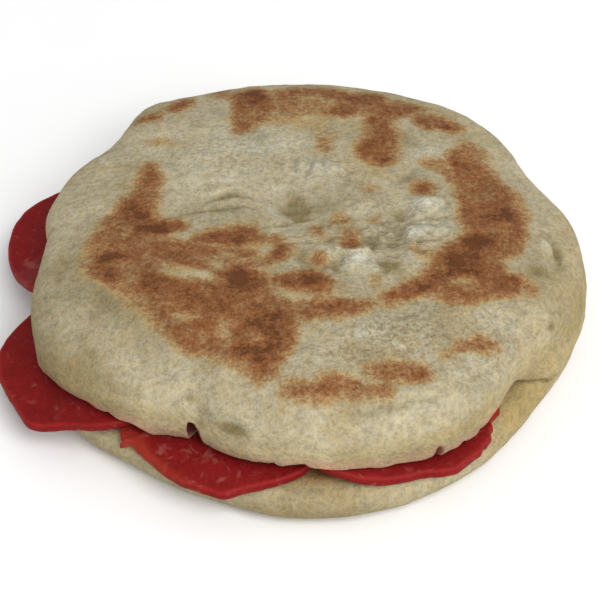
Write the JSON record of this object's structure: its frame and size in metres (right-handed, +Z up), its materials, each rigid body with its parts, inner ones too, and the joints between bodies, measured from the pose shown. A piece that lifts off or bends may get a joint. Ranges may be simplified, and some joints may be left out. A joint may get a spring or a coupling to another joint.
{
  "type": "sausage flatbread",
  "caption": "Thick round griddle flatbread cut open at the front and left, joined at the back, with round slices of red sausage sticking out of the cut.",
  "frame": {"origin": "middle of the flat underside of the lower half", "axes": "+Z up out of the top crust, -Y towards the open front, +X to the joined right side"},
  "size_m": [0.16, 0.1512, 0.0395],
  "materials": {
    "crust": "dry floury crust with brown griddle marks",
    "sausage": "moist cut sausage with pale flecks of fat and a brighter rim"
  },
  "bodies": {
    "root": {"split_flatbread": "crust", "sausage_slice_left_back": "sausage", "sausage_slice_left_front": "sausage", "sausage_slice_front": "sausage", "sausage_slice_front_right": "sausage"}
  },
  "joints": []
}
